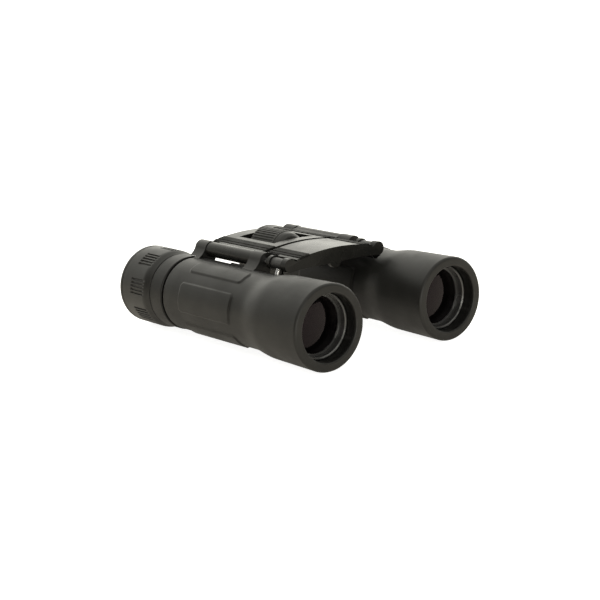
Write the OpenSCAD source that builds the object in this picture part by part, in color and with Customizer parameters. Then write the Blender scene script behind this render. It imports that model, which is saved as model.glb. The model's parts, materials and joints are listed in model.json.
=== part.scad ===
// Compact double-hinge roof-prism binoculars, opened fully and lying on both barrels.
// The barrels lie along Y, objectives towards -Y and eyepieces towards +Y.
// z = 0 is the surface they rest on. A "station" is a distance behind the objective faces.
// Lengths are in millimetres.

/* [Barrels] */
// Overall length of a barrel, from objective face to eyecup rim
length = 131; // [129:0.5:134]
// Distance between the optical axes with the barrels fully open
axis_sep = 71; // [70:0.5:73]
// Diameter of the bell at the objective end
bell_d = 38; // [37:0.5:39]
// Diameter of the armoured body
body_d = 33.6; // [33:0.2:34.4]
// Thickness of the rubber armour on the body
armour_t = 1.05; // [0.8:0.05:1.2]
// Height of the raised panels on the armour
panel_t = 0.3; // [0.2:0.05:0.35]
// Bore that the objective cell slides in
cell_bore_d = 29.3; // [29:0.1:29.5]

/* [Optics] */
// Clear aperture of the objective
objective_d = 25; // [24:0.5:25.5]
// Recess from the bell's face to the objective cell
cell_recess = 5.6; // [4.5:0.1:6]
// Aperture of the prisms
prism_a = 11; // [9:0.5:11]
// Clear aperture of the eye lens
eye_lens_d = 17; // [14:0.5:18]

/* [Hinges] */
// Half the distance between the two hinge shafts
hinge_x = 26; // [25.8:0.1:26.4]
// Height of the hinge shafts above the optical axes
hinge_rise = 19.8; // [19.6:0.1:20.2]
// Diameter of a hinge shaft
shaft_d = 3; // [2.6:0.1:3.2]
// Diameter of the barrel's hinge lugs
lug_d = 7.6; // [7.2:0.1:7.8]
// Diameter of the rear bridge's long knuckle
knuckle_d = 7; // [6.6:0.1:7.1]
// Diameter of the front bridge's hinge ears
ear_d = 6.3; // [6:0.1:6.5]
// Diameter of the focusing collars between the ears
collar_d = 5; // [4.8:0.1:5.6]

/* [Bridge] */
// Height of the bridge's crown above the optical axes
crown_rise = 24.6; // [24.2:0.1:25]
// Radius of the bridge's arched top
arch_r = 111; // [100:1:140]
// Thickness of the bridge's top
plate_t = 2; // [1.6:0.1:2.2]
// Diameter of the focus wheel
wheel_d = 18; // [17:0.5:18.5]
// Number of flutes round the focus wheel
wheel_flutes = 40; // [24:1:48]

/* [Eyepieces] */
// Diameter of the smooth ring in front of the eyecup
ring_d = 34.3; // [34:0.1:34.6]
// Diameter of the rubber eyecup
cup_d = 36.6; // [36:0.1:37]
// Number of groups of grip grooves round an eyecup
grip_groups = 8; // [4:1:8]
// Grooves in a group
grip_grooves = 5; // [3:1:5]

/* [Fits] */
// Radial clearance of a running fit
run_fit = 0.05; // [0.03:0.01:0.08]
// Radial gap between sliding sleeves
slide_gap = 0.3; // [0.25:0.01:0.35]
// Gap at a fixed seat
seat_gap = 0.03; // [0.02:0.01:0.05]

/* [Hidden] */
$fn = 96;
eps = 0.01;

right = -1;
left = 1;

// Radii of the main turned parts
bell_r = bell_d / 2;
body_r = body_d / 2;
tube_r = body_r - armour_t - 0.05;
bore_r = cell_bore_d / 2;
cell_r = bore_r - slide_gap;
cell_in_r = cell_r - 0.95;
lens_r = cell_in_r - 0.1;
clear_r = objective_d / 2;
shaft_r = shaft_d / 2;
lug_r = lug_d / 2;
knuckle_r = knuckle_d / 2;
ear_r = ear_d / 2;
collar_r = collar_d / 2;
wheel_r = wheel_d / 2;
ring_r = ring_d / 2;
cup_r = cup_d / 2;
neck_r = 13.6;
neck_in_r = 12.6;
eyepiece_r = neck_in_r - slide_gap;
sleeve_in_r = neck_r + slide_gap;
sleeve_r = sleeve_in_r + 1.1;

// Stations along the barrel
bell_taper_s = 26;
bell_end_s = 40.5;
armour_end_s = 97.3;
ring_s = [98.5, 107.7];
cup_s = [108.1, length];
cup_shoulder_s = 112.6;
neck_end_s = 126;
eyepiece_s = [99.5, 126.4];
cell_end_s = 47;
cell_edge = 0.2;
cell_mouth = 0.4;
panel_s = [47.5, 85];
pin_s = 43.5;
lens_s = 9.95;
cage_s = [50, 71];

// Stations along the hinge
rear_lug_s = [93.7, 101.5];
front_lug_s = [53, 61];
knuckle_s = [61.35, 93.4];
rear_plate_s = [60, 99];
front_plate_s = [36.2, 58.3];
front_ear_s = [36.2, 39.6];
rear_ear_s = [47.4, 50];
collar_s = [39.8, 47.2];
shaft_s = [38.3, 100.9];
saddle_s = [front_lug_s[1] - 0.7, rear_lug_s[0] + 0.7];
stop_s = [front_lug_s[1] - 1.1, 72];

// Focusing travel of the front bridge, forwards and backwards
travel_fwd = 3;
travel_back = 1.2;

// Hinge centre and raised panels seen from a barrel's own axis, inboard being -x.
// A panel is given by the angles of its two long edges, 0 being straight outboard.
hinge_in = axis_sep / 2 - hinge_x;
hinge_reach = norm([hinge_in, hinge_rise]);
hinge_lean = atan2(hinge_in, hinge_rise);
flare_r = 9.6;
flare_turn = 24;
flare_bite = 0.15;
saddle_half_angle = 14;
stop_half_angle = 12.5;
saddle_t = 0.45;
stop_t = 1.1;
panels = [[54, 80], [-12, 34], [-70, -33.5], [146, 192], [213.5, 250]];

// Bridge
plate_side_x = 22.3;
front_drop = 0.25;
lug_clear_x = 21;
strip_x = [14.8, 20.6];
strip_ribs = 3;
strip_depth = 0.8;
ear_web_rise = 1.4;
plate_low = 17.4;
base_t = 1.4;
cavity_x = 18.4;
wheel_rise = 18.4;
wheel_s = [66.6, 88];
nose_s = 71;
window_x = 11.6;
window_s = [65.4, 91];
boss_r = 4.2;
rear_boss_end_s = 94.6;
nut_boss_s = 46;
nut_s = [47, 55.5];
screw_start_s = nut_s[0] + 0.5;
spindle_r = 2;
nut_r = 3.1;
rear_screw_xs = [15.2, [70, 88]];
front_screw_xs = [12, [49.5]];
screw_r = 0.8;
head_r = 1.5;
head_t = 0.7;

// ---- Placing ----

module bench() translate([0, -length / 2, bell_r]) children();

// A barrel's own frame: axis on +Y, inboard towards -x for the left barrel
module barrel(side)
    bench()
        translate([side * axis_sep / 2, 0, 0])
            mirror([side < 0 ? 1 : 0, 0, 0]) children();

module both_sides() {
    children();
    mirror([1, 0, 0]) children();
}

// A round bar along the barrel between two stations
module bar(r, s)
    translate([0, s[0], 0]) rotate([-90, 0, 0]) cylinder(r = r, h = s[1] - s[0]);

// A profile of [radius, station] points turned about the barrel axis
module turned(points)
    rotate([-90, 0, 0]) rotate_extrude() polygon(points);

// An (x, z) outline drawn out between two stations
module drawn(s)
    translate([0, s[1], 0]) rotate([90, 0, 0]) linear_extrude(s[1] - s[0]) children();

// A (station, z) outline with a width across x
module across(width)
    rotate([90, 0, 90]) linear_extrude(width, center = true) children();

module ring_y(r_out, r_in, s)
    difference() {
        bar(r_out, s);
        bar(r_in, [s[0] - 1, s[1] + 1]);
    }

function grown(span, by) = [span[0] - by, span[1] + by];

// Part of a ring in the (x, z) outline, between two angles
module sector(r_in, r_out, a)
    intersection() {
        difference() {
            circle(r_out);
            circle(r_in);
        }
        polygon(concat([[0, 0]], [for (t = [0:2]) 2 * r_out * [cos(a[0] + t * (a[1] - a[0]) / 2),
                                                              sin(a[0] + t * (a[1] - a[0]) / 2)]]));
    }

// ---- Barrel tube and armour ----

// Outline of a lug: a round eye on the hinge and a web down to the tube
module lug_outline(grow = 0) {
    r = lug_r + grow;
    eye = [-hinge_in, hinge_rise];
    down = [sin(hinge_lean), -cos(hinge_lean)];
    inboard = [-cos(hinge_lean), -sin(hinge_lean)];
    root_r = tube_r - 0.4;
    web_len = hinge_reach - root_r + 2;
    outboard = [cos(flare_turn), sin(flare_turn)];
    translate(eye) circle(r);
    difference() {
        polygon([
            eye + (r - flare_bite / 2) * outboard,
            [0.4 + grow, root_r - 0.4],
            [-4, root_r - 3],
            eye + r * inboard + web_len * down,
            eye + r * inboard
        ]);
        translate(eye + (flare_r + lug_r - flare_bite) * outboard) circle(flare_r - grow);
    }
}

// Low land on the tube between the lugs, under the knuckle
module saddle(r, half_angle, depth = 0.6)
    sector(tube_r - depth, r, [90 + hinge_lean - half_angle, 90 + hinge_lean + half_angle]);

module pin_slot(width)
    rotate([0, -hinge_lean, 0])
        translate([-width / 2, pin_s - travel_fwd - width / 2 - 0.4, bore_r - 2])
            cube([width, travel_fwd + travel_back + width + 0.8, 9]);

module tube(side)
    color("#26262a")
        barrel(side)
            difference() {
                union() {
                    bar(tube_r, [1.2, armour_end_s + 0.2]);
                    bar(neck_r, [armour_end_s, neck_end_s]);
                    drawn(front_lug_s) lug_outline();
                    drawn(saddle_s) saddle(body_r + saddle_t, saddle_half_angle);
                    drawn(stop_s) saddle(body_r + stop_t, stop_half_angle, 0.4);
                    difference() {
                        drawn(rear_lug_s) lug_outline();
                        bar(ring_r + slide_gap, [armour_end_s + 0.1, length]);
                    }
                }
                bar(bore_r, [0, 95.5]);
                bar(neck_in_r, [0, length]);
                translate([-hinge_in, 0, hinge_rise]) {
                    bar(shaft_r + seat_gap, [0, length]);
                    bar(2.6, [rear_lug_s[1] - 1.6, length]);
                }
                pin_slot(2.4);
            }

// Radius of the armour over the bell's shoulder, an S-curve from bell to body
function bell_radius(t) =
    (bell_r - 0.5) + (body_r - bell_r + 0.5) * (1 - cos(180 * t)) / 2;

module armour(side) {
    steps = 8;
    shoulder = [for (i = [0:steps])
        [bell_radius(i / steps), bell_taper_s + (bell_end_s - bell_taper_s) * i / steps]];
    color("#3c3a37")
        barrel(side)
            difference() {
                union() {
                    turned(concat(
                        [[bore_r + 0.1, 1.1], [bore_r + 0.1, 0.4], [bore_r + 0.5, 0],
                         [bell_r - 0.6, 0], [bell_r - 0.18, 0.18], [bell_r, 0.6]],
                        shoulder,
                        [[body_r, armour_end_s - 0.5], [body_r - 0.4, armour_end_s],
                         [tube_r + 0.05, armour_end_s], [tube_r + 0.05, 1.1]]));
                    for (a = panels)
                        drawn(panel_s) sector(body_r - 0.3, body_r + panel_t, a);
                }
                drawn(grown(saddle_s, -0.3)) saddle(body_r + 2, saddle_half_angle + 0.3);
                drawn(grown(rear_lug_s, 0.08)) lug_outline(0.08);
                drawn(grown(front_lug_s, 0.08)) lug_outline(0.08);
                pin_slot(3);
            }
}

// ---- Hinge ----

module at_hinge(side)
    barrel(side) translate([-hinge_in, 0, hinge_rise]) children();

module hinge_shaft(side)
    color("#b8b8bc")
        at_hinge(side) {
            bar(shaft_r, shaft_s);
            bar(2.5, [shaft_s[1] - 0.9, shaft_s[1]]);
        }

module hinge_washer(side)
    color("#9a9a9e")
        at_hinge(side)
            ring_y(knuckle_r - 0.3, shaft_r + run_fit, [front_lug_s[1] + 0.08, knuckle_s[0] - 0.08]);

// ---- Objective cell, driven along the barrel by the collar on the hinge shaft ----

pin_top = hinge_reach - shaft_r - run_fit - 0.25;
pin_low = cell_r - 0.75;
pin_r = 0.9;

module focus_collar(side)
    color("#2a2a2c")
        at_hinge(side)
            difference() {
                ring_y(collar_r, shaft_r + run_fit, collar_s);
                rotate([0, -hinge_lean, 0])
                    translate([0, pin_s, -hinge_reach])
                        cylinder(r = pin_r + seat_gap, h = pin_top + seat_gap);
            }

module link_pin(side)
    color("#d8d8dc")
        barrel(side)
            rotate([0, -hinge_lean, 0])
                translate([0, pin_s, pin_low]) cylinder(r = pin_r, h = pin_top - pin_low);

module objective_cell(side) {
    grooves = 9;
    color("#1d1d1f")
        barrel(side)
            difference() {
                turned([[0, cell_recess], [cell_r - cell_edge, cell_recess],
                        [cell_r, cell_recess + cell_edge], [cell_r, cell_end_s],
                        [0, cell_end_s]]);
                bar(clear_r, [0, length]);
                bar(cell_in_r, [cell_recess + cell_mouth / 2, lens_s - 0.7]);
                turned([[0, cell_recess - 1], [cell_in_r + cell_mouth + 1, cell_recess - 1],
                        [cell_in_r - 0.4, cell_recess + cell_mouth + 0.4],
                        [0, cell_recess + cell_mouth + 0.4]]);
                bar(cell_in_r, [lens_s - 0.2, 18]);
                for (i = [0:grooves - 1])
                    bar(clear_r + 0.5, [19.5 + 2.4 * i, 20.7 + 2.4 * i]);
                rotate([0, -hinge_lean, 0])
                    translate([0, pin_s, pin_low - seat_gap])
                        cylinder(r = pin_r + seat_gap, h = 5);
            }
}

// Depth that a spherical surface falls back at a given radius from its vertex
function sag(ball_r, r) = ball_r - sqrt(ball_r * ball_r - r * r);

// Points of a spherical surface from the axis out to the rim; bulge is -1 towards the objectives
function lens_face(vertex, ball_r, rim_r, bulge, steps = 8) =
    [for (i = [0:steps]) [rim_r * i / steps, vertex - bulge * sag(ball_r, rim_r * i / steps)]];

function backwards(points) = [for (i = [len(points) - 1:-1:0]) points[i]];

crown_front_r = 62;
crown_back_r = 48;
crown_t = 4.6;
flint_t = 1.9;
flint_back_r = 170;
cement_t = 0.02;
crown_vertex_s = lens_s - sag(crown_front_r, lens_r);
cement_s = crown_vertex_s + crown_t;
flint_vertex_s = cement_s + cement_t + flint_t;

module objective_crown(side)
    color([0.75, 0.82, 0.9, 0.4])
        barrel(side)
            turned(concat(
                lens_face(crown_vertex_s, crown_front_r, lens_r, -1),
                backwards(lens_face(cement_s, crown_back_r, lens_r, 1))));

module objective_flint(side)
    color([0.72, 0.8, 0.88, 0.4])
        barrel(side)
            turned(concat(
                lens_face(cement_s + cement_t, crown_back_r, lens_r, 1),
                backwards(lens_face(flint_vertex_s, flint_back_r, lens_r, 1))));

module lens_ring(side)
    color("#1a1a1c")
        barrel(side) ring_y(lens_r, clear_r, [flint_vertex_s + 0.1, 17.6]);

// ---- Prisms ----

prism_s = cage_s[0] + 1.6;
prism_gap = 0.4;
prism_low = -prism_a - 0.3;
roof_high = 9.5;
exit_low = -7.5;
exit_s = prism_s + prism_a / 2 - exit_low + prism_gap * sqrt(2);
prism_w = prism_a;

// First prism: entrance face upright, gap face at 45 degrees, base at 22.5 degrees
module half_penta_outline() {
    half = prism_a / 2;
    fall = -prism_low - half;
    polygon([
        [prism_s, -half],
        [prism_s, half],
        [prism_s + half - prism_low, prism_low],
        [prism_s + fall / tan(22.5), prism_low]
    ]);
}

// Second prism: gap face at 45 degrees, upright exit face, roof on top
module roof_outline() {
    side_len = roof_high - exit_low;
    run = side_len * cos(45);
    polygon([[exit_s, exit_low], [exit_s, roof_high], [exit_s - run, exit_low + run]]);
}

module half_penta_prism(side)
    color([0.8, 0.86, 0.9, 0.45]) barrel(side) across(prism_w) half_penta_outline();

module roof_prism(side)
    color([0.8, 0.86, 0.9, 0.45])
        barrel(side)
            intersection() {
                across(prism_w) roof_outline();
                translate([0, exit_s, roof_high])
                    rotate([22.5, 0, 0])
                        rotate([0, -45, 0])
                            translate([-prism_w, -30, -prism_w]) cube([prism_w, 60, prism_w]);
            }

module prism_cage(side)
    color("#202022")
        barrel(side)
            difference() {
                bar(bore_r - 0.05, cage_s);
                translate([-prism_w / 2 - 0.15, prism_s - 0.1, prism_low - 0.1])
                    cube([prism_w + 0.3, 40, roof_high - prism_low + 0.2]);
                bar(prism_a / 2 - 0.4, [cage_s[0] - 1, cage_s[1]]);
            }

module prism_clamp(side)
    color("#8d8d90")
        barrel(side) ring_y(bore_r - 0.1, prism_a / 2 - 0.6, [cage_s[1] + 0.05, cage_s[1] + 0.85]);

// ---- Eyepiece ----

field_lens_r = eyepiece_r - 1.35;
eye_clear_r = eye_lens_d / 2;

module eyepiece_tube(side)
    color("#1f1f21")
        barrel(side)
            difference() {
                bar(eyepiece_r, eyepiece_s);
                bar(field_lens_r + 0.05, [0, eyepiece_s[1] - 3]);
                bar(eye_clear_r, [0, length]);
                turned([[0, eyepiece_s[1] - 1], [eye_clear_r, eyepiece_s[1] - 1],
                        [eye_clear_r + 1.1, eyepiece_s[1] + eps], [0, eyepiece_s[1] + eps]]);
            }

module field_lens(side)
    color([0.78, 0.84, 0.9, 0.4])
        barrel(side)
            turned(concat(
                lens_face(102, 40, field_lens_r, -1),
                backwards(lens_face(109, 34, field_lens_r, 1))));

module eye_lens(side)
    color([0.78, 0.84, 0.9, 0.4])
        barrel(side)
            turned(concat(
                lens_face(eyepiece_s[1] - 8.4, 40, field_lens_r, -1),
                [[field_lens_r, eyepiece_s[1] - 3.2], [0, eyepiece_s[1] - 3.2]]));

// The smooth ring in front of the eyecup: it turns on the right, and is fixed on the left
module collar_ring(side, gap)
    color("#34342f")
        barrel(side)
            turned([[neck_r + gap, ring_s[0]], [ring_r - 0.3, ring_s[0]],
                    [ring_r, ring_s[0] + 0.3], [ring_r, ring_s[1] - 0.5],
                    [ring_r - 0.5, ring_s[1]], [neck_r + gap, ring_s[1]]]);

// Guide sleeve that turns on the neck under the eyecup
module eyecup_sleeve(side)
    color("#2a2a2c")
        barrel(side) ring_y(sleeve_r, sleeve_in_r, [cup_s[0] + 0.1, neck_end_s - 0.1]);

module eyecup(side) {
    pitch = 5;
    first_angle = -10.7;
    groove_w = 0.75;
    color("#3a3835")
        barrel(side)
            difference() {
                turned([[sleeve_r + slide_gap, cup_s[0]], [ring_r - 0.5, cup_s[0]],
                        [ring_r - 0.1, cup_s[0] + 0.4], [ring_r + 0.1, cup_s[0] + 2.2],
                        [cup_r - 0.3, cup_shoulder_s - 0.9], [cup_r, cup_shoulder_s],
                        [cup_r, length - 1.6], [cup_r - 0.3, length - 0.5],
                        [cup_r - 1.1, length], [cup_r - 2.5, length],
                        [sleeve_r + slide_gap, length - 1.2]]);
                for (g = [0:grip_groups - 1], i = [0:grip_grooves - 1])
                    rotate([0, first_angle + g * 360 / grip_groups
                               + (i - (grip_grooves - 1) / 2) * pitch, 0])
                        translate([cup_r - 0.4, cup_shoulder_s - 0.6, -groove_w / 2])
                            cube([1, 8.8, groove_w]);
            }
}

// ---- Bridge ----

// Solid outline of a bridge plate: arched top, flat underside
module plate_outline(half_width, low = plate_low, drop = 0)
    intersection() {
        translate([0, crown_rise - arch_r - drop]) circle(arch_r, $fn = 360);
        translate([-half_width, low]) square([2 * half_width, 20]);
    }

// Web that joins the plate's side to the round on the hinge axis
module hinge_web(r)
    polygon([[plate_side_x - 2, crown_rise - 2.5], [plate_side_x, crown_rise - 2.4],
             [hinge_x, hinge_rise + r], [hinge_x, hinge_rise - r], [plate_side_x - 2, plate_low]]);

// The ears' web sits lower, which leaves a crevice beside the plate
module ear_web(r)
    polygon([[plate_side_x - 2, hinge_rise + ear_web_rise], [hinge_x, hinge_rise + ear_web_rise],
             [hinge_x, hinge_rise - r], [plate_side_x - 2, plate_low]]);

// A round on both hinge axes, with its webs as children
module hinge_round(r, s)
    both_sides()
        union() {
            drawn(s) children();
            translate([hinge_x, 0, hinge_rise]) bar(r, s);
        }

module strip_seat(s, drop = 0)
    both_sides()
        drawn(grown(s, 1))
            intersection() {
                difference() {
                    plate_outline(strip_x[1]);
                    plate_outline(strip_x[1] + 1, drop = strip_depth + drop);
                }
                translate([strip_x[0], 0]) square([20, 60]);
            }

module on_wheel_axis() translate([0, 0, wheel_rise]) children();

module screw_posts(xs, r, low)
    both_sides()
        for (s = xs[1])
            translate([xs[0], s, low]) cylinder(r = r, h = crown_rise - plate_t - low - 0.8);

module screw_holes(xs, r)
    both_sides()
        for (s = xs[1])
            translate([xs[0], s, 0]) cylinder(r = r, h = plate_low + 3.6);

module rear_bridge()
    color("#4a4a48")
        bench()
            difference() {
                union() {
                    difference() {
                        union() {
                            drawn(rear_plate_s) plate_outline(plate_side_x);
                            hinge_round(knuckle_r, knuckle_s) hinge_web(knuckle_r);
                        }
                        drawn([rear_plate_s[0] + 2, rear_plate_s[1] - 2])
                            plate_outline(cavity_x, 0, plate_t);
                    }
                    on_wheel_axis() {
                        bar(boss_r, [rear_plate_s[0], window_s[0]]);
                        bar(boss_r, [window_s[1], rear_boss_end_s]);
                    }
                    screw_posts(rear_screw_xs, 1.8, plate_low + base_t + 0.05);
                }
                translate([-window_x, window_s[0], 0])
                    cube([2 * window_x, window_s[1] - window_s[0], 60]);
                strip_seat(rear_plate_s);
                on_wheel_axis() {
                    bar(spindle_r + run_fit, [0, window_s[0] + 1]);
                    bar(spindle_r + run_fit, [window_s[1] - 1, rear_boss_end_s - 0.8]);
                }
                both_sides() {
                    translate([hinge_x, 0, hinge_rise]) bar(shaft_r + run_fit, [0, length]);
                    for (s = [front_lug_s, rear_lug_s])
                        translate([lug_clear_x, s[0] - 0.3, 0])
                            cube([20, s[1] - s[0] + 0.6, 60]);
                }
                screw_holes(rear_screw_xs, screw_r + seat_gap);
            }

// Underside cover with openings given as [half width, first station, last station]
module base_plate(s, xs, openings)
    difference() {
        translate([-cavity_x + 0.1, s[0] + 2.1, plate_low])
            cube([2 * cavity_x - 0.2, s[1] - s[0] - 4.2, base_t]);
        for (o = openings)
            translate([-o[0], o[1], 0]) cube([2 * o[0], o[2] - o[1], 60]);
        screw_holes(xs, screw_r + seat_gap);
    }

module rear_base_plate()
    color("#232325")
        bench()
            base_plate(rear_plate_s, rear_screw_xs,
                [[window_x, window_s[0], window_s[1]],
                 [boss_r + 0.2, rear_plate_s[0], rear_boss_end_s + 0.2]]);

module front_bridge()
    color("#444442")
        bench()
            difference() {
                union() {
                    difference() {
                        union() {
                            drawn(front_plate_s) plate_outline(plate_side_x, drop = front_drop);
                            hinge_round(ear_r, front_ear_s) ear_web(ear_r);
                            hinge_round(ear_r, rear_ear_s) ear_web(ear_r);
                        }
                        drawn([front_plate_s[0] + 2, front_plate_s[1] - 2])
                            plate_outline(cavity_x, 0, plate_t + front_drop);
                    }
                    on_wheel_axis() {
                        bar(3.4, [front_plate_s[0], front_plate_s[0] + 2]);
                        bar(boss_r, [nut_boss_s, front_plate_s[1]]);
                    }
                    screw_posts(front_screw_xs, 1.8, plate_low + base_t + 0.05);
                }
                strip_seat(front_plate_s, front_drop);
                on_wheel_axis() bar(nut_r + seat_gap, [nut_boss_s - 1, length]);
                both_sides() {
                    translate([hinge_x, 0, hinge_rise])
                        bar(shaft_r + run_fit, [shaft_s[0] - travel_back - 0.2, length]);
                    translate([lug_clear_x, front_lug_s[0] - travel_fwd - 0.6, 0])
                        cube([20, 20, 60]);
                }
                screw_holes(front_screw_xs, screw_r + seat_gap);
            }

module front_base_plate()
    color("#232325")
        bench()
            base_plate(front_plate_s, front_screw_xs, [[boss_r + 0.2, nut_boss_s - 0.3, length]]);

// Ribbed grip strips let into the plate's top
module grip_strips(s, drop = 0)
    both_sides()
        difference() {
            drawn(grown(s, -0.3))
                intersection() {
                    difference() {
                        plate_outline(strip_x[1] - 0.05, drop = drop - 0.25);
                        plate_outline(strip_x[1] + 1, drop = drop + strip_depth - 0.02);
                    }
                    translate([strip_x[0] + 0.05, 0]) square([20, 60]);
                }
            for (i = [1:strip_ribs - 1])
                translate([strip_x[0] + i * (strip_x[1] - strip_x[0]) / strip_ribs - 0.35, s[0],
                           crown_rise - 2.1 - drop + 0.55 * (strip_ribs - i)])
                    cube([0.7, s[1] - s[0], 10]);
        }

module rear_grip_strips() color("#33332f") bench() grip_strips(rear_plate_s);
module front_grip_strips() color("#33332f") bench() grip_strips(front_plate_s, front_drop);

module screws(xs)
    both_sides()
        for (s = xs[1])
            translate([xs[0], s, plate_low]) {
                cylinder(r = screw_r, h = 3.2);
                translate([0, 0, -head_t])
                    difference() {
                        cylinder(r = head_r, h = head_t);
                        translate([-0.2, -2, -eps]) cube([0.4, 4, 0.35]);
                        translate([-2, -0.2, -eps]) cube([4, 0.4, 0.35]);
                    }
            }

module rear_screws() color("#c0c0c4") bench() screws(rear_screw_xs);
module front_screws() color("#c0c0c4") bench() screws(front_screw_xs);

// ---- Focus wheel, its screw and its nut ----

module focus_nut()
    color("#c9a24a")
        bench() on_wheel_axis() ring_y(nut_r, spindle_r + run_fit, nut_s);

module focus_wheel()
    color("#2b2b2b")
        bench()
            on_wheel_axis()
                difference() {
                    turned([[0, wheel_s[0] + 0.3], [wheel_r - 4, wheel_s[0]],
                            [wheel_r - 2.2, wheel_s[0] + 0.5], [wheel_r - 0.9, wheel_s[0] + 1.8],
                            [wheel_r - 0.35, nose_s - 0.6], [wheel_r - 0.35, nose_s],
                            [wheel_r - 1.4, nose_s], [wheel_r - 1.4, wheel_s[1] - 0.8],
                            [0, wheel_s[1] - 0.8]]);
                    bar(spindle_r + seat_gap, [0, length]);
                }

module focus_wheel_grip() {
    flute_w = 0.62;
    color("#353533")
        bench()
            on_wheel_axis()
                difference() {
                    turned([[wheel_r - 1.38, nose_s + 0.05], [wheel_r - 0.4, nose_s + 0.05],
                            [wheel_r, nose_s + 0.5], [wheel_r, wheel_s[1] - 0.6],
                            [wheel_r - 0.6, wheel_s[1]], [wheel_r - 1.38, wheel_s[1]]]);
                    for (i = [0:wheel_flutes - 1])
                        rotate([0, i * 360 / wheel_flutes, 0])
                            translate([wheel_r - 0.45, nose_s + 0.9, -flute_w / 2])
                                cube([1, wheel_s[1], flute_w]);
                }
}

module focus_screw()
    color("#bdbdc2")
        bench() on_wheel_axis() bar(spindle_r, [screw_start_s, rear_boss_end_s - 1]);

module focus_screw_clip()
    color("#8f8f94")
        bench() on_wheel_axis() ring_y(3.4, spindle_r + seat_gap, [88.2, 89]);

// ---- Nodes ----

rear_bridge();
rear_base_plate();
rear_grip_strips();
rear_screws();
front_bridge();
front_base_plate();
front_grip_strips();
front_screws();
focus_nut();
focus_wheel();
focus_wheel_grip();
focus_screw();
focus_screw_clip();
tube(right);  // right_tube
armour(right);  // right_armour
hinge_shaft(right);  // right_hinge_shaft
hinge_washer(right);  // right_hinge_washer
focus_collar(right);  // right_focus_collar
link_pin(right);  // right_link_pin
objective_cell(right);  // right_objective_cell
objective_crown(right);  // right_objective_crown
objective_flint(right);  // right_objective_flint
lens_ring(right);  // right_lens_ring
prism_cage(right);  // right_prism_cage
prism_clamp(right);  // right_prism_clamp
half_penta_prism(right);  // right_half_penta_prism
roof_prism(right);  // right_roof_prism
eyepiece_tube(right);  // right_eyepiece_tube
field_lens(right);  // right_field_lens
eye_lens(right);  // right_eye_lens
collar_ring(right, slide_gap);  // right_dioptre_ring
eyecup_sleeve(right);  // right_eyecup_sleeve
eyecup(right);  // right_eyecup
tube(left);  // left_tube
armour(left);  // left_armour
hinge_shaft(left);  // left_hinge_shaft
hinge_washer(left);  // left_hinge_washer
focus_collar(left);  // left_focus_collar
link_pin(left);  // left_link_pin
objective_cell(left);  // left_objective_cell
objective_crown(left);  // left_objective_crown
objective_flint(left);  // left_objective_flint
lens_ring(left);  // left_lens_ring
prism_cage(left);  // left_prism_cage
prism_clamp(left);  // left_prism_clamp
half_penta_prism(left);  // left_half_penta_prism
roof_prism(left);  // left_roof_prism
eyepiece_tube(left);  // left_eyepiece_tube
field_lens(left);  // left_field_lens
eye_lens(left);  // left_eye_lens
collar_ring(left, seat_gap);  // left_collar_ring
eyecup_sleeve(left);  // left_eyecup_sleeve
eyecup(left);  // left_eyecup
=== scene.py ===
"""Looks for the compact binoculars: camera, studio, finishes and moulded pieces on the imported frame."""

import json
import math

import bmesh
import bpy
from mathutils import Matrix, Vector


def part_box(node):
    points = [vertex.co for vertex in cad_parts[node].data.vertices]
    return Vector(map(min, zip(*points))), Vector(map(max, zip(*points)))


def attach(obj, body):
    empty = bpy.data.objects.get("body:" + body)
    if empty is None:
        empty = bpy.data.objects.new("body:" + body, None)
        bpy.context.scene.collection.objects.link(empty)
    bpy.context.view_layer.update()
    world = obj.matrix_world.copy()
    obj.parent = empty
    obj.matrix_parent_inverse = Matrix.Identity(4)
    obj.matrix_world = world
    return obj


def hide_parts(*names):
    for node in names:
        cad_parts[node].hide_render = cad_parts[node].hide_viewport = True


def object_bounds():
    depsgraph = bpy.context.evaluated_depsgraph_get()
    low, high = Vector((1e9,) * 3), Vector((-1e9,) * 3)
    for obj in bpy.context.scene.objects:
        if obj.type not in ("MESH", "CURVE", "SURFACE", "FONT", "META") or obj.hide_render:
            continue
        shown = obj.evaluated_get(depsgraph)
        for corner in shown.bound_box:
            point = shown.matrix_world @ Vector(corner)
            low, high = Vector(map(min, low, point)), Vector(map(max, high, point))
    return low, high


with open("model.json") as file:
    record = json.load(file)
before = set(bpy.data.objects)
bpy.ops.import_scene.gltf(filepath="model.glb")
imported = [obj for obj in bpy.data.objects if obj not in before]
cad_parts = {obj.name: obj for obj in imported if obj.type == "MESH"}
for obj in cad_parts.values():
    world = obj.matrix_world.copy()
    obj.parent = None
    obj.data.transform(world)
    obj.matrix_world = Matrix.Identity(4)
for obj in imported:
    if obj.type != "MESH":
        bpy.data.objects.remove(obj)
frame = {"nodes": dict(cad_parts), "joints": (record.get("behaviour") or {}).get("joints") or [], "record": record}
cad_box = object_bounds()

MM = 0.001
NODES = frame["nodes"]
SLOT_OF = {part["node"]: part["material_slot"] for part in frame["record"]["subparts"]}
BODIES = frame["record"]["behaviour"]["bodies"]
BODY_OF = {node: body for body, nodes in BODIES.items() for node in nodes}
OUTBOARD = {"right": -1, "left": 1}


# ---------------------------------------------------------------- places taken from the frame


def box_middle(node):
    low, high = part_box(node)
    return (low + high) / 2


def node_radius(node):
    """Radius of a node turned about a barrel's axis, in millimetres."""
    low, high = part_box(node)
    return (high.z - low.z) / 2 / MM


def station(node, end):
    """Distance in millimetres of a node's front (0) or back (1) end behind the objective face."""
    return (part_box(node)[end].y - cad_box[0].y) / MM


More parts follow.
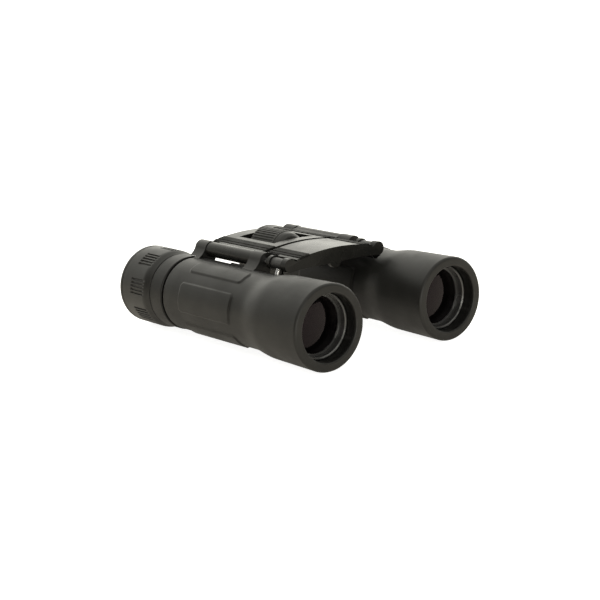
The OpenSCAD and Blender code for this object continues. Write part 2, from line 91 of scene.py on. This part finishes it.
AXIS_Z = box_middle("left_armour").z
AXIS_X = box_middle("left_armour").x
BELL_R = node_radius("left_armour")
RING_R = node_radius("left_collar_ring")
CUP_R = node_radius("left_eyecup")
FOLD = next(joint for joint in frame["joints"] if joint["name"] == "left_barrel_fold")
HINGE_IN = (AXIS_X - FOLD["pos_m"][0]) / MM
HINGE_RISE = (FOLD["pos_m"][2] - AXIS_Z) / MM
HINGE_LEAN = math.atan2(HINGE_IN, HINGE_RISE)


def barrel_frame(side):
    """Puts a barrel's own millimetre frame in place: X outboard, Y the station, Z up, axis at the origin."""
    place = Matrix.Translation((OUTBOARD[side] * AXIS_X, cad_box[0].y, AXIS_Z))
    return place @ Matrix.Diagonal((OUTBOARD[side] * MM, MM, MM, 1))


# ---------------------------------------------------------------- camera, floor and light

# The floor lights the object with a warm bounce and glow, as a table top lit all round does.
# GLOW is the floor's glow on the object and as the camera sees it.
BOUNCE = (0.71, 0.67, 0.60)
GLOW = (0.45, 0.96)
WARM = (1.0, 0.985, 0.90)
AZIMUTH = math.radians(-39.36)
CAMERA_SIDE = Vector((math.sin(AZIMUTH), -math.cos(AZIMUTH), 0))


def make_camera():
    """A long lens, a little above the object and in front of the right barrel."""
    elevation, roll = math.radians(13.11), math.radians(-2.03)
    distance, target = 0.6771, Vector((-0.0078, -0.0127, 0.0179))
    back = CAMERA_SIDE * math.cos(elevation) + Vector((0, 0, math.sin(elevation)))
    level = Vector((-CAMERA_SIDE.y, CAMERA_SIDE.x, 0))
    up = back.cross(level)
    right = level * math.cos(roll) + up * math.sin(roll)
    data = bpy.data.cameras.new("camera")
    data.sensor_width = 36
    data.lens = 89.68
    data.clip_start = 0.05
    camera = bpy.data.objects.new("camera", data)
    turn = Matrix((right, back.cross(right), back)).transposed().to_4x4()
    camera.matrix_world = Matrix.Translation(target + back * distance) @ turn
    bpy.context.scene.collection.objects.link(camera)
    bpy.context.scene.camera = camera


def area_light(name, place, target, size, power, colour):
    data = bpy.data.lights.new(name, "AREA")
    data.shape = "RECTANGLE"
    data.size, data.size_y = size
    data.energy = power
    data.color = colour
    light = bpy.data.objects.new(name, data)
    light.location = place
    light.rotation_euler = (Vector(target) - Vector(place)).to_track_quat("-Z", "Y").to_euler()
    bpy.context.scene.collection.objects.link(light)


def make_floor():
    mesh = bpy.data.meshes.new("floor")
    half, low = 14.0, cad_box[0].z
    corners = [(-half, -half, low), (half, -half, low), (half, half, low), (-half, half, low)]
    mesh.from_pydata(corners, [], [(0, 1, 2, 3)])
    floor = bpy.data.objects.new("floor", mesh)
    bpy.context.scene.collection.objects.link(floor)
    material, tree, shader = new_material("pale_floor")
    shader.inputs["Roughness"].default_value = 0.9
    shader.inputs["Specular IOR Level"].default_value = 0.1
    pale, paler, cloud_scale = (0.93, 0.93, 0.925), (0.95, 0.95, 0.945), 9.0
    seen = spread(tree, noise(tree, cloud_scale), shader.inputs["Base Color"], pale, paler)
    path = tree.nodes.new("ShaderNodeLightPath").outputs["Is Camera Ray"]
    bounced = tree.nodes.new("ShaderNodeMix")
    bounced.data_type = "RGBA"
    bounced.inputs[6].default_value = (*BOUNCE, 1)
    tree.links.new(path, bounced.inputs["Factor"])
    tree.links.new(seen.outputs[2], bounced.inputs[7])
    tree.links.new(bounced.outputs[2], shader.inputs["Base Color"])
    tree.links.new(bounced.outputs[2], shader.inputs["Emission Color"])
    tree.links.new(ranged(tree, path, (0, 1), GLOW, "LINEAR"), shader.inputs["Emission Strength"])
    mesh.materials.append(material)


def make_world():
    """A white studio: bright behind the object and overhead, dark on the camera's side."""
    overhead, behind, in_front = 1.0, 2.1, 0.12
    front_starts, front_full = -0.95, 0.1
    sky_starts, sky_full = 0.35, 0.9
    world = bpy.data.worlds.new("studio")
    world.use_nodes = True
    bpy.context.scene.world = world
    tree = world.node_tree
    background = tree.nodes["Background"]
    where = tree.nodes.new("ShaderNodeTexCoord").outputs["Generated"]
    facing = tree.nodes.new("ShaderNodeVectorMath")
    facing.operation = "DOT_PRODUCT"
    facing.inputs[1].default_value = CAMERA_SIDE
    tree.links.new(where, facing.inputs[0])
    sides = ranged(tree, facing.outputs["Value"], (front_starts, front_full), (behind, in_front))
    height = tree.nodes.new("ShaderNodeSeparateXYZ")
    tree.links.new(where, height.inputs[0])
    share = ranged(tree, height.outputs["Z"], (sky_starts, sky_full), (0, 1))
    light = tree.nodes.new("ShaderNodeMix")
    tree.links.new(share, light.inputs["Factor"])
    tree.links.new(sides, light.inputs[2])
    light.inputs[3].default_value = overhead
    path = tree.nodes.new("ShaderNodeLightPath")
    seen = tree.nodes.new("ShaderNodeMix")
    tree.links.new(path.outputs["Is Camera Ray"], seen.inputs["Factor"])
    tree.links.new(light.outputs[0], seen.inputs[2])
    seen.inputs[3].default_value = 1.0
    tree.links.new(seen.outputs[0], background.inputs["Strength"])
    tint = tree.nodes.new("ShaderNodeMix")
    tint.data_type = "RGBA"
    tint.inputs[6].default_value = (*WARM, 1)
    tint.inputs[7].default_value = (1, 1, 1, 1)
    tree.links.new(path.outputs["Is Camera Ray"], tint.inputs["Factor"])
    tree.links.new(tint.outputs[2], background.inputs["Color"])


# ---------------------------------------------------------------- material building blocks


def new_material(name):
    material = bpy.data.materials.new(name)
    material.use_nodes = True
    return material, material.node_tree, material.node_tree.nodes["Principled BSDF"]


def ranged(tree, value, come, go, interpolation="SMOOTHSTEP"):
    """A number carried from one range to another."""
    node = tree.nodes.new("ShaderNodeMapRange")
    node.interpolation_type = interpolation
    node.inputs["From Min"].default_value, node.inputs["From Max"].default_value = come
    node.inputs["To Min"].default_value, node.inputs["To Max"].default_value = go
    tree.links.new(value, node.inputs["Value"])
    return node.outputs["Result"]


def noise(tree, scale, detail=3.0, stretch=None):
    """Noise in the object's own metres; scale is features a metre."""
    where = tree.nodes.new("ShaderNodeTexCoord").outputs["Object"]
    if stretch:
        mapping = tree.nodes.new("ShaderNodeMapping")
        mapping.inputs["Scale"].default_value = stretch
        tree.links.new(where, mapping.inputs["Vector"])
        where = mapping.outputs["Vector"]
    node = tree.nodes.new("ShaderNodeTexNoise")
    node.inputs["Scale"].default_value = scale
    node.inputs["Detail"].default_value = detail
    tree.links.new(where, node.inputs["Vector"])
    return node.outputs["Fac"]


def spread(tree, value, socket, low, high, come=(0.3, 0.7)):
    """Colours a socket between two colours by a value."""
    node = tree.nodes.new("ShaderNodeMix")
    node.data_type = "RGBA"
    node.inputs[6].default_value = (*low, 1)
    node.inputs[7].default_value = (*high, 1)
    tree.links.new(ranged(tree, value, come, (0, 1)), node.inputs["Factor"])
    tree.links.new(node.outputs[2], socket)
    return node


# Scales of the finishes' clouds and smudges in features a metre, and where an edge counts as worn
CLOUDS = 140.0
SMUDGES = 60.0
WORN_EDGE = (0.52, 0.62)


def finish(name, colour, roughness, grain, mottle=0.15, wear=0.0, metallic=0.0, specular=0.5, stretch=None):
    """A worn, grained surface.

    grain is (size, depth) in millimetres, mottle the share that the colour varies and wear how far
    edges are rubbed pale.
    """
    material, tree, shader = new_material(name)
    shader.inputs["Metallic"].default_value = metallic
    shader.inputs["Specular IOR Level"].default_value = specular
    dark = [c * (1 - mottle) for c in colour]
    light = [c * (1 + mottle) for c in colour]
    cloudy = noise(tree, CLOUDS, 5.0, stretch)
    base = spread(tree, cloudy, shader.inputs["Base Color"], dark, light)
    if wear:
        pointed = tree.nodes.new("ShaderNodeNewGeometry").outputs["Pointiness"]
        worn = ranged(tree, pointed, WORN_EDGE, (0, wear))
        rubbed = tree.nodes.new("ShaderNodeMix")
        rubbed.data_type = "RGBA"
        rubbed.inputs[7].default_value = (*[min(1, c * 3 + 0.02) for c in colour], 1)
        tree.links.new(base.outputs[2], rubbed.inputs[6])
        tree.links.new(worn, rubbed.inputs["Factor"])
        tree.links.new(rubbed.outputs[2], shader.inputs["Base Color"])
    smudged = noise(tree, SMUDGES, 4.0)
    tree.links.new(ranged(tree, smudged, (0.3, 0.7), roughness), shader.inputs["Roughness"])
    size, depth = grain
    bump = tree.nodes.new("ShaderNodeBump")
    bump.inputs["Strength"].default_value = 0.6
    bump.inputs["Distance"].default_value = depth * MM
    tree.links.new(noise(tree, 1 / (size * MM), 2.0, stretch), bump.inputs["Height"])
    tree.links.new(bump.outputs["Normal"], shader.inputs["Normal"])
    return material


def glass(name, colour, ior, tint, roughness):
    """Glass of a colour, with a coating's tinted reflection."""
    material, tree, shader = new_material(name)
    shader.inputs["Transmission Weight"].default_value = 1.0
    shader.inputs["IOR"].default_value = ior
    shader.inputs["Specular Tint"].default_value = (*tint, 1)
    cloud_scale, dust_scale, dusty = 90.0, 200.0, (0.45, 0.8)
    cloudy = noise(tree, cloud_scale, 2.0)
    spread(tree, cloudy, shader.inputs["Base Color"], [c * 0.96 for c in colour], colour)
    tree.links.new(ranged(tree, noise(tree, dust_scale), dusty, roughness), shader.inputs["Roughness"])
    return material


def make_materials():
    """One finish for each material slot of the record, as colour, roughness range and grain."""
    return {
        "bridge_shell": finish("satin_paint", (0.012, 0.012, 0.011), (0.24, 0.36), (0.35, 0.012),
                               mottle=0.2, wear=0.25, specular=0.25),
        "base_plate": finish("matte_cover", (0.020, 0.020, 0.020), (0.5, 0.65), (0.3, 0.02)),
        "grip_rubber": finish("strip_rubber", (0.012, 0.012, 0.011), (0.6, 0.75), (0.2, 0.02),
                              mottle=0.1, wear=0.1, specular=0.15),
        "screw_steel": finish("screw_heads", (0.20, 0.20, 0.21), (0.3, 0.45), (0.15, 0.008),
                              mottle=0.2, wear=0.3, metallic=1.0),
        "bright_steel": finish("polished_steel", (0.72, 0.72, 0.73), (0.12, 0.25), (0.2, 0.003),
                               mottle=0.06, metallic=1.0),
        "brass": finish("machined_brass", (0.62, 0.44, 0.18), (0.25, 0.4), (0.2, 0.006),
                        mottle=0.1, metallic=1.0),
        "wheel_plastic": finish("wheel_hub", (0.018, 0.018, 0.017), (0.3, 0.42), (0.25, 0.01), wear=0.2),
        "wheel_rubber": finish("wheel_rubber", (0.022, 0.022, 0.020), (0.45, 0.6), (0.2, 0.015), wear=0.35),
        "tube_plastic": finish("moulded_tube", (0.009, 0.009, 0.0085), (0.32, 0.46), (0.3, 0.014),
                               wear=0.35, specular=0.4),
        "armour_rubber": finish("rubber_armour", (0.011, 0.0108, 0.010), (0.40, 0.52), (0.28, 0.018),
                                mottle=0.12, wear=0.12, specular=0.4),
        "collar_plastic": finish("collar_plastic", (0.03, 0.03, 0.03), (0.35, 0.5), (0.25, 0.01), wear=0.3),
        "cell_black": finish("black_anodised", (0.11, 0.11, 0.11), (0.22, 0.32), (0.15, 0.003),
                             mottle=0.12, wear=0.5, metallic=0.6, stretch=(0.2, 1, 0.2)),
        # The objective glass is coloured near-black as painted shade: the colour stands in for the dark inside of
        # the barrel seen through the lens, and the coating's tinted reflection stays the glass's own
        "coated_glass": glass("coated_glass", (0.012, 0.010, 0.011), ior=1.52,
                              tint=(0.37, 0.30, 0.35), roughness=(0.0, 0.01)),
        "prism_glass": glass("prism_glass", (0.97, 0.98, 0.98), ior=1.57,
                             tint=(0.2, 0.2, 0.24), roughness=(0.0, 0.04)),
        "inner_black": finish("inner_black", (0.010, 0.010, 0.010), (0.6, 0.8), (0.3, 0.02),
                              mottle=0.2, specular=0.3),
        "clamp_steel": finish("clamp_steel", (0.30, 0.30, 0.31), (0.35, 0.5), (0.2, 0.005),
                              mottle=0.1, metallic=1.0),
        "eyepiece_plastic": finish("eyepiece_plastic", (0.018, 0.018, 0.018), (0.35, 0.5), (0.3, 0.012),
                                   wear=0.2),
        "ring_plastic": finish("ring_plastic", (0.006, 0.006, 0.0055), (0.36, 0.48), (0.3, 0.012),
                               mottle=0.12, wear=0.2, specular=0.3),
        "cup_rubber": finish("cup_rubber", (0.011, 0.0108, 0.010), (0.38, 0.50), (0.26, 0.018),
                             mottle=0.12, wear=0.15),
    }


def dress_frame(materials):
    for node, piece in NODES.items():
        piece.data.materials.clear()
        piece.data.materials.append(materials[SLOT_OF[node]])


# ---------------------------------------------------------------- mesh building blocks


def stand_in(name, mesh, node, materials):
    """Shows a mesh in place of a CAD node, on the same body and with the same finish."""
    piece = bpy.data.objects.new(name, mesh)
    bpy.context.scene.collection.objects.link(piece)
    mesh.materials.clear()
    mesh.materials.append(materials[SLOT_OF[node]])
    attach(piece, BODY_OF[node])
    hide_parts(node)
    return piece


def rounded_shading(piece, sharp=40):
    """Smooth shading with flat faces kept flat, and edges past so many degrees kept sharp."""
    flat_face_weight = 80
    for polygon in piece.data.polygons:
        polygon.use_smooth = True
    weighted = piece.modifiers.new("flat_faces_stay_flat", "WEIGHTED_NORMAL")
    weighted.keep_sharp = True
    weighted.weight = flat_face_weight
    piece.data.set_sharp_from_angle(angle=math.radians(sharp))
    return piece


def softened(node, width, sharp, materials):
    """A copy of a CAD node with edges sharper than so many degrees rounded over by width millimetres."""
    same_place, flat = 2e-6, math.radians(0.4)
    work = bmesh.new()
    work.from_mesh(NODES[node].data)
    bmesh.ops.remove_doubles(work, verts=work.verts, dist=same_place)
    bmesh.ops.dissolve_limit(work, angle_limit=flat, verts=work.verts, edges=work.edges)
    work.normal_update()
    points = [vertex.co.copy() for vertex in work.verts]
    work.verts.index_update()
    faces = [[vertex.index for vertex in face.verts] for face in work.faces]
    work.free()
    mesh = bpy.data.meshes.new(node + "_soft")
    mesh.from_pydata(points, [], faces)
    piece = stand_in(node + "_soft", mesh, node, materials)
    bevel = piece.modifiers.new("soft_edges", "BEVEL")
    bevel.width = width * MM
    bevel.segments = 2
    bevel.limit_method = "ANGLE"
    bevel.angle_limit = math.radians(sharp)
    bevel.use_clamp_overlap = True
    return rounded_shading(piece)


def outward(mesh):
    """Turns every face of a closed mesh outwards."""
    fix = bmesh.new()
    fix.from_mesh(mesh)
    bmesh.ops.recalc_face_normals(fix, faces=fix.faces)
    fix.to_mesh(mesh)
    fix.free()


def turned_mesh(name, side, profile, angles, shape):
    """A closed profile of (radius, station) points turned about a barrel's axis.

    shape(radius, station, angle in degrees) gives each point's radius.
    """
    count, turns = len(profile), len(angles)
    points = []
    for angle in angles:
        for radius, where in profile:
            r = shape(radius, where, math.degrees(angle))
            points.append((r * math.cos(angle), where, r * math.sin(angle)))
    faces = []
    for i in range(turns):
        for j in range(count):
            a, b = i * count, (i + 1) % turns * count
            k = (j + 1) % count
            faces.append((a + j, a + k, b + k, b + j))
    mesh = bpy.data.meshes.new(name)
    mesh.from_pydata(points, [], faces)
    mesh.transform(barrel_frame(side))
    outward(mesh)
    return mesh


def arc(centre, radius, start, end, steps):
    """Points of an arc in a (radius, station) profile, its angles 0 outwards and 90 backwards."""
    turns = [math.radians(start + (end - start) * i / steps) for i in range(steps + 1)]
    return [(centre[0] + radius * math.cos(t), centre[1] + radius * math.sin(t)) for t in turns]


def lined_up(low, high, step, edges, soft):
    """Even places from low to high, with closer ones within a soft width of each edge."""
    count = max(1, round((high - low) / step))
    even = [low + (high - low) * i / count for i in range(count + 1)]
    near = [edge + soft * k / 2 for edge in edges for k in (-2, -1, 0, 1, 2)]
    clear = [e for e in even if all(abs(e - n) > soft / 3 for n in near)]
    return sorted(set(clear + [n for n in near if low < n < high]))


def turned_by(angle, middle):
    """Signed degrees from a middle angle, the short way round."""
    return (angle - middle + 180) % 360 - 180


def ease(value, low, high):
    """0 below low and 1 above high, with a smooth rise between."""
    t = min(1, max(0, (value - low) / (high - low)))
    return t * t * (3 - 2 * t)


def window(value, span, soft):
    """1 inside a span and 0 outside, with soft sides centred on its ends."""
    half = soft / 2
    return ease(value, span[0] - half, span[0] + half) * (1 - ease(value, span[1] - half, span[1] + half))


# ---------------------------------------------------------------- moulded barrel shells

# Raised panels on the armour, each by the angles of its long edges, 0 being straight outboard
PANELS = [(54, 80), (-12, 34), (-70, -33.5), (146, 192), (213.5, 250)]
PANEL_SPAN = (47.5, 85)
PANEL_T = 0.55
PANEL_SOFT = 0.7
PANEL_CORNER = 1.8
BODY_R = 16.8
TUBE_R = 15.75
BORE_R = 14.75
BELL_TAPER = 0.5
SHOULDER_R = BELL_R - BELL_TAPER
SHOULDER = (26, 40.5)


def armour_radius(where):
    """The armour's outer radius without its panels."""
    if where < SHOULDER[0]:
        return BELL_R - BELL_TAPER * where / SHOULDER[0]
    return SHOULDER_R + (BODY_R - SHOULDER_R) * ease(where, *SHOULDER)


def panel_distance(panel, where, angle):
    """Distance in millimetres outside a panel's outline, which has rounded corners."""
    middle = sum(panel) / 2
    past_side = abs(turned_by(angle, middle)) - (panel[1] - middle)
    past_end = abs(where - sum(PANEL_SPAN) / 2) - (PANEL_SPAN[1] - PANEL_SPAN[0]) / 2
    across = math.radians(past_side) * BODY_R + PANEL_CORNER
    along = past_end + PANEL_CORNER
    return math.hypot(max(across, 0), max(along, 0)) + min(max(across, along), 0) - PANEL_CORNER


def with_insets(low, high, soft):
    """The two edges of a span, and the place inside each that a panel's corner reaches."""
    inset = 2.5 * soft
    return [low, low + inset, high - inset, high]


def armour_shape(radius, where, angle):
    """Raises the outer face over each panel."""
    if radius < (TUBE_R + BODY_R) / 2:
        return radius
    outside = min(panel_distance(panel, where, angle) for panel in PANELS)
    return radius + PANEL_T * (1 - ease(outside, -PANEL_SOFT / 2, PANEL_SOFT / 2))


def armour(side, materials):
    """Rubber armour: rounded rim, bell, S-shaped shoulder and raised panels, open round the link pin."""
    node = side + "_armour"
    back = station(node, 1)
    rim, lip, edge = 1.3, 0.8, 0.4
    seat, step, turn_step = 1.1, 1.6, 3.0
    profile = arc((BELL_R - rim, rim), rim, -90, -5, 8)
    ends = with_insets(*PANEL_SPAN, PANEL_SOFT)
    stations = lined_up(rim + 0.2, back - edge - 0.3, step, ends, PANEL_SOFT)
    profile += [(armour_radius(where), where) for where in stations]
    profile += arc((BODY_R - edge, back - edge), edge, 0, 90, 4)
    profile += [(TUBE_R, back), (TUBE_R, seat), (BORE_R, seat)]
    profile += arc((BORE_R + lip, lip), lip, 180, 270, 5)
    soft = PANEL_SOFT / math.radians(BODY_R)
    edges = [e % 360 for panel in PANELS for e in with_insets(*panel, soft)]
    turns = [turn for turn in lined_up(0, 360, turn_step, edges, soft) if turn < 359.9]
    mesh = turned_mesh(node + "_moulded", side, profile, [math.radians(turn) for turn in turns], armour_shape)
    piece = stand_in(node + "_moulded", mesh, node, materials)
    open_slot(piece, side)
    return rounded_shading(piece)


def slot_cutter(side):
    """A box over the slot that the link pin slides in."""
    width, forward, backward, height = 3.0, 4.6, 2.8, 9
    pin_s = (box_middle(side + "_link_pin").y - cad_box[0].y) / MM
    middle_rise = math.hypot(HINGE_IN, HINGE_RISE) - 5
    work = bmesh.new()
    bmesh.ops.create_cube(work, size=1)
    size = Matrix.Diagonal((width, forward + backward, height, 1))
    lean = Matrix.Rotation(-HINGE_LEAN, 4, "Y")
    where = Matrix.Translation((0, pin_s + (backward - forward) / 2, middle_rise))
    work.transform(barrel_frame(side) @ lean @ where @ size)
    bmesh.ops.recalc_face_normals(work, faces=work.faces)
    mesh = bpy.data.meshes.new("slot_cutter")
    work.to_mesh(mesh)
    work.free()
    cutter = bpy.data.objects.new("slot_cutter", mesh)
    bpy.context.scene.collection.objects.link(cutter)
    return cutter


def open_slot(piece, side):
    """Cuts the link pin's slot and keeps the cut mesh."""
    cutter = slot_cutter(side)
    cut = piece.modifiers.new("slot", "BOOLEAN")
    cut.operation = "DIFFERENCE"
    cut.solver = "EXACT"
    cut.object = cutter
    bpy.context.view_layer.update()
    result = bpy.data.meshes.new_from_object(piece.evaluated_get(bpy.context.evaluated_depsgraph_get()))
    piece.modifiers.clear()
    materials = list(piece.data.materials)
    piece.data = result
    piece.data.materials.clear()
    for material in materials:
        piece.data.materials.append(material)
    bpy.data.objects.remove(cutter)


# ---------------------------------------------------------------- eyecups and lenses

# Grooves come in groups; the pitch and the first group's place are in degrees round the cup
GRIP_GROUPS = 8
GRIP_GROOVES = 5
GROOVE_PITCH = 5.0
FIRST_GROUP = 10.7
GROOVE_W = 0.85
GROOVE_DEPTH = 0.6
GROOVE_SOFT = 0.22
GROOVE_SPAN = (112, 121.5)
RIM_LINE = (128.5, 128.8)
RIM_LINE_SOFT = 0.3
RIM_LINE_DEPTH = 0.2
# Half a groove's width and the width of its soft side, in degrees
GROOVE_HALF = GROOVE_W / 2 / math.radians(CUP_R)
GROOVE_SIDE = GROOVE_SOFT / math.radians(CUP_R)


def groove_angles():
    """Middle angle of each grip groove round an eyecup, in degrees."""
    offsets = [(i - (GRIP_GROOVES - 1) / 2) * GROOVE_PITCH for i in range(GRIP_GROOVES)]
    groups = [FIRST_GROUP + i * 360 / GRIP_GROUPS for i in range(GRIP_GROUPS)]
    return [group + offset for group in groups for offset in offsets]


def cup_shape(radius, where, angle):
    """Sinks the grip grooves and the rim's fine line into the eyecup's outer face."""
    if radius < RING_R:
        return radius
    nearest = min(abs(turned_by(angle, middle)) for middle in groove_angles())
    across = window(nearest, (-GROOVE_HALF, GROOVE_HALF), GROOVE_SIDE)
    groove = GROOVE_DEPTH * across * window(where, GROOVE_SPAN, GROOVE_SOFT * 2)
    return radius - groove - RIM_LINE_DEPTH * window(where, RIM_LINE, RIM_LINE_SOFT)


def eyecup_profile(front, back):
    """An eyecup's section: inner sleeve, convex shoulder, straight side, rounded rim and dished end."""
    inner, lip, rim, step = 15.3, 0.4, 1.0, 1.6
    shoulder_start, shoulder_end = front + 0.9, front + 4.5
    start_r = RING_R - 0.1
    profile = [(inner, front)] + arc((RING_R - 0.5, front + lip), lip, -90, 0, 3)
    steps, fullness = 6, 0.8
    for i in range(1, steps + 1):
        share = i / steps
        bulge = math.sin(share * math.pi / 2) ** fullness
        profile.append((start_r + (CUP_R - start_r) * bulge,
                        shoulder_start + (shoulder_end - shoulder_start) * share))
    side = lined_up(shoulder_end + 0.4, RIM_LINE[0] - 0.4, step, GROOVE_SPAN[1:], GROOVE_SOFT * 2)
    side += [RIM_LINE[0] + RIM_LINE_SOFT * i / 2 for i in range(-2, 5)]
    profile += [(CUP_R, where) for where in side]
    profile += arc((CUP_R - rim, back - rim), rim, 0, 90, 5)
    return profile + [(CUP_R - 2.5, back), (inner, back - 1.2)]


def eyecup(side, materials):
    """Rubber eyecup with grip grooves in groups."""
    node = side + "_eyecup"
    turn_step = 3.0
    half, soft = GROOVE_HALF, GROOVE_SIDE
    corners = (-half - soft / 2, -half, -half + soft / 2, half - soft / 2, half, half + soft / 2)
    sides = [middle + corner for middle in groove_angles() for corner in corners]
    even = [i * turn_step for i in range(round(360 / turn_step))]
    clear = [turn for turn in even if all(abs(turned_by(turn, s)) > soft for s in sides)]
    angles = [math.radians(turn) for turn in sorted(set(clear + [s % 360 for s in sides]))]
    profile = eyecup_profile(station(node, 0), station(node, 1))
    mesh = turned_mesh(node + "_moulded", side, profile, angles, cup_shape)
    return rounded_shading(stand_in(node + "_moulded", mesh, node, materials), 60)


def fall(ball_r, radius):
    """Depth that a spherical surface falls back at a radius from its vertex."""
    return ball_r - math.sqrt(ball_r * ball_r - radius * radius)


def lens(node, side, front_r, back_r, materials):
    """A polished lens from the radii of its two faces, each + where the face bulges outwards."""
    rim, steps, count = node_radius(node), 10, 72
    radii = [rim * i / steps for i in range(1, steps + 1)]
    front, back = station(node, 0), station(node, 1)
    if front_r < 0:
        front += fall(-front_r, rim)
    ahead = [(r, front + math.copysign(fall(abs(front_r), r), front_r)) for r in radii]
    behind = [(r, back - math.copysign(fall(abs(back_r), r), back_r)) for r in reversed(radii)]
    points = [(0, front, 0), (0, back, 0)]
    ring = ahead + behind
    for i in range(count):
        turn = 2 * math.pi * i / count
        points += [(r * math.cos(turn), where, r * math.sin(turn)) for r, where in ring]
    faces = []
    for i in range(count):
        a, b = 2 + i * len(ring), 2 + (i + 1) % count * len(ring)
        faces.append((0, a, b))
        faces += [(a + k, a + k + 1, b + k + 1, b + k) for k in range(len(ring) - 1)]
        faces.append((a + len(ring) - 1, 1, b + len(ring) - 1))
    mesh = bpy.data.meshes.new(node + "_polished")
    mesh.from_pydata(points, [], faces)
    mesh.transform(barrel_frame(side))
    outward(mesh)
    return rounded_shading(stand_in(node + "_polished", mesh, node, materials), 30)


# ---------------------------------------------------------------- putting it together

# Rounded edges: their width in millimetres and the angle in degrees that an edge must be past
SOFT_EDGES = {
    "rear_bridge": (0.2, 60), "front_bridge": (0.2, 60),
    "rear_grip_strips": (0.12, 32), "front_grip_strips": (0.12, 32),
    "focus_wheel": (0.15, 32), "focus_wheel_grip": (0.1, 32),
}
SOFT_SIDE_EDGES = {"tube": (0.3, 50), "focus_collar": (0.2, 32), "objective_cell": (0.1, 30)}
SOFT_RING = (0.3, 32)
# Radii of the objective's three curved faces, + bulging outwards
CROWN = (62, 48)
FLINT = (-48, 170)

make_camera()
finishes = make_materials()
make_floor()
make_world()
area_light("front_fill", place=(-0.25, -0.75, 0.08), target=(0, -0.06, 0.02), size=(0.6, 0.25),
           power=2.0, colour=WARM)
dress_frame(finishes)
for node, edge in SOFT_EDGES.items():
    softened(node, *edge, finishes)
for side in OUTBOARD:
    armour(side, finishes)
    eyecup(side, finishes)
    for part, edge in SOFT_SIDE_EDGES.items():
        softened(side + "_" + part, *edge, finishes)
    lens(side + "_objective_crown", side, *CROWN, finishes)
    lens(side + "_objective_flint", side, *FLINT, finishes)
softened("left_collar_ring", *SOFT_RING, finishes)
softened("right_dioptre_ring", *SOFT_RING, finishes)
bpy.context.scene.view_settings.view_transform = "Standard"
